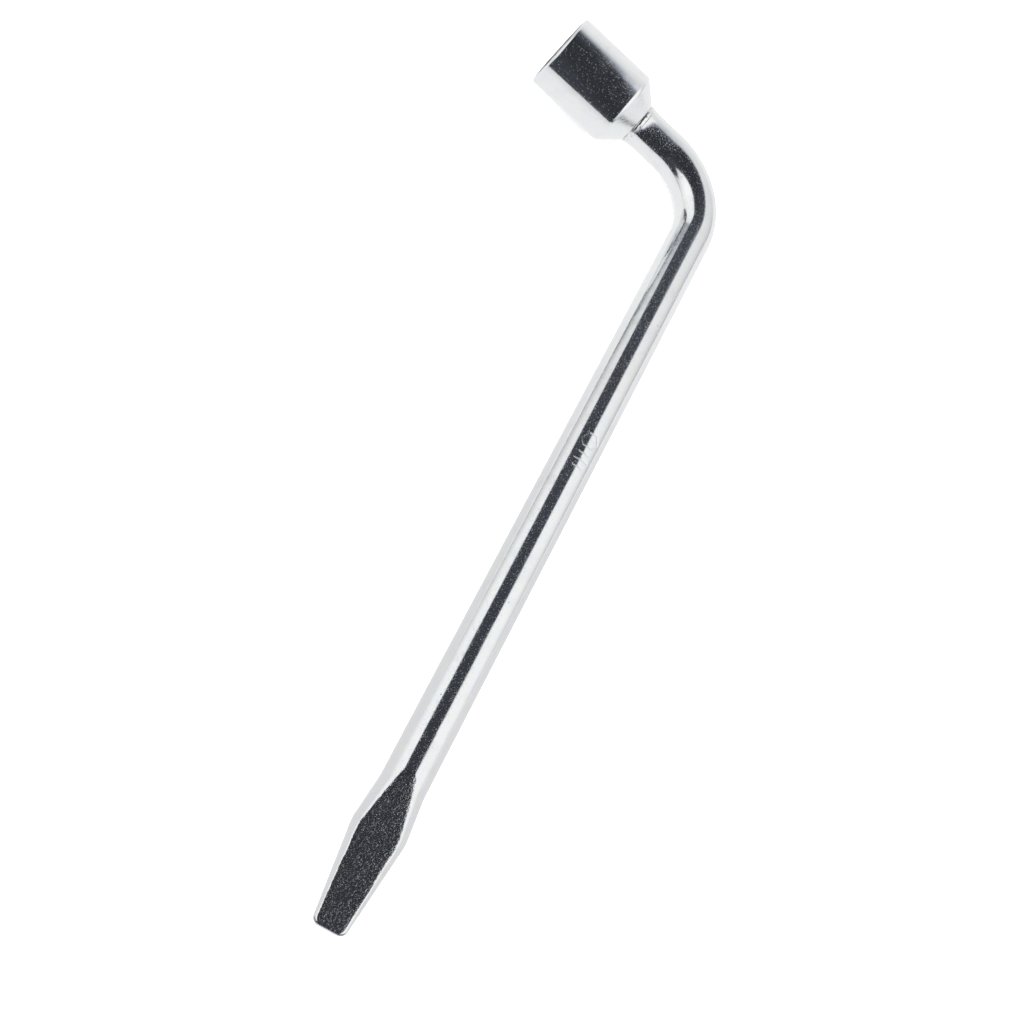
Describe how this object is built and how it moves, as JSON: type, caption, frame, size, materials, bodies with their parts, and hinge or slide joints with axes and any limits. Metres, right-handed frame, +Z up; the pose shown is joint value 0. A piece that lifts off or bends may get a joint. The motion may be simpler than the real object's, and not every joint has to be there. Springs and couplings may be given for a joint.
{
  "type": "lug wrench",
  "caption": "L-shaped chrome-plated lug wrench: a bent round bar with a welded hexagon socket head at one end and a forged pry tip at the other.",
  "frame": {"origin": "on the floor, under the middle of the wrench's box, as the wrench lies at rest", "axes": "+X along the handle to the pry tip, +Z up. The head is at -X, and its mouth looks along -Y, 8.7 degrees up and 7 degrees towards -X."},
  "size_m": [0.3039, 0.0795, 0.0308],
  "materials": {
    "bar_chrome": "bright chrome plate over a drawn bar, with fine pits and rub marks",
    "head_chrome": "bright chrome plate over a turned head, with turning marks on the cone",
    "ring_weld_chrome": "chrome plate over a dressed weld, slightly rippled",
    "plug_weld_steel": "thinly plated weld with ripples"
  },
  "bodies": {
    "root": {"shank_bar": "bar_chrome", "socket_head": "head_chrome", "neck_ring_weld": "ring_weld_chrome", "socket_plug_weld": "plug_weld_steel"}
  },
  "joints": []
}
